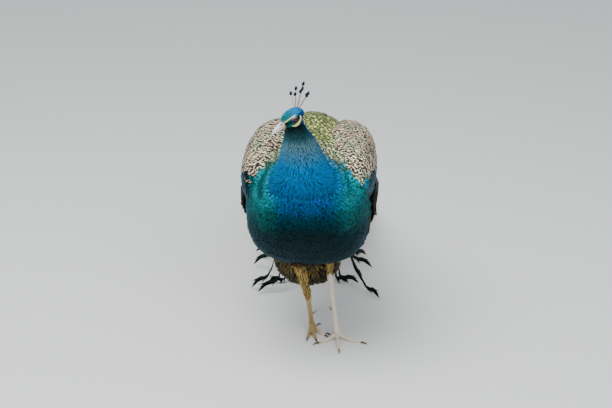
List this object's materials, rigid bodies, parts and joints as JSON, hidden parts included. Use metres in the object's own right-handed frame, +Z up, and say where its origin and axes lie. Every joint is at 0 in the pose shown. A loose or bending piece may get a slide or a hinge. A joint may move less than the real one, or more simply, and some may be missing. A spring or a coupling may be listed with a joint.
{
  "type": "peacock",
  "caption": "Life-size Indian peafowl cock standing mid-step with its head turned, wings folded, and its long train of eyed feathers trailing on the ground.",
  "frame": {"origin": "middle of the bird's footprint on the ground, feet and train standing at z = 0", "axes": "+Z up; the bird faces -Y with its train trailing towards +Y; its left side is +X"},
  "size_m": [0.4142, 1.3788, 0.6927],
  "materials": {
    "plumage_blue": "iridescent blue feathers of head and neck",
    "plumage_teal": "iridescent blue-green breast feathers",
    "plumage_black": "black-green belly and scaled green back feathers",
    "vent_down": "loose dusky down",
    "wing_barred": "buff feathers barred with black",
    "wing_dark": "dark blue-black flight feathers",
    "wing_chestnut": "chestnut flight feathers",
    "crest": "bare quills with small blue-green fans",
    "train": "bronze-green feathers with eye spots",
    "tail": "stiff grey-brown feathers",
    "sword": "narrow black-green blades",
    "thigh": "short buff feathers",
    "leg_skin": "scaled grey-pink skin",
    "bill_horn": "pale grey horn",
    "claw_horn": "dark grey horn",
    "eye": "wet dark brown"
  },
  "bodies": {
    "root": {"head": "plumage_blue", "eye_left": "eye", "eye_right": "eye", "bill_upper": "bill_horn", "bill_lower": "bill_horn", "crest": "crest", "neck_upper": "plumage_blue", "neck_lower": "plumage_blue", "breast": "plumage_teal", "trunk": "plumage_black", "vent": "vent_down", "wing_left_shoulder": "wing_barred", "wing_left_secondaries": "wing_dark", "wing_left_primaries": "wing_chestnut", "wing_right_shoulder": "wing_barred", "wing_right_secondaries": "wing_dark", "wing_right_primaries": "wing_chestnut", "tail": "tail", "train_base": "train", "train_middle": "train", "train_end": "train", "sword_feathers_left": "sword", "sword_feathers_right": "sword", "thigh_left": "thigh", "thigh_right": "thigh", "shank_left": "leg_skin", "shank_right": "leg_skin", "foot_left": "leg_skin", "foot_right": "leg_skin", "claw_left_middle": "claw_horn", "claw_left_outer": "claw_horn", "claw_left_inner": "claw_horn", "claw_left_hind": "claw_horn", "claw_right_middle": "claw_horn", "claw_right_outer": "claw_horn", "claw_right_inner": "claw_horn", "claw_right_hind": "claw_horn", "spur_left": "claw_horn", "spur_right": "claw_horn"}
  },
  "joints": []
}
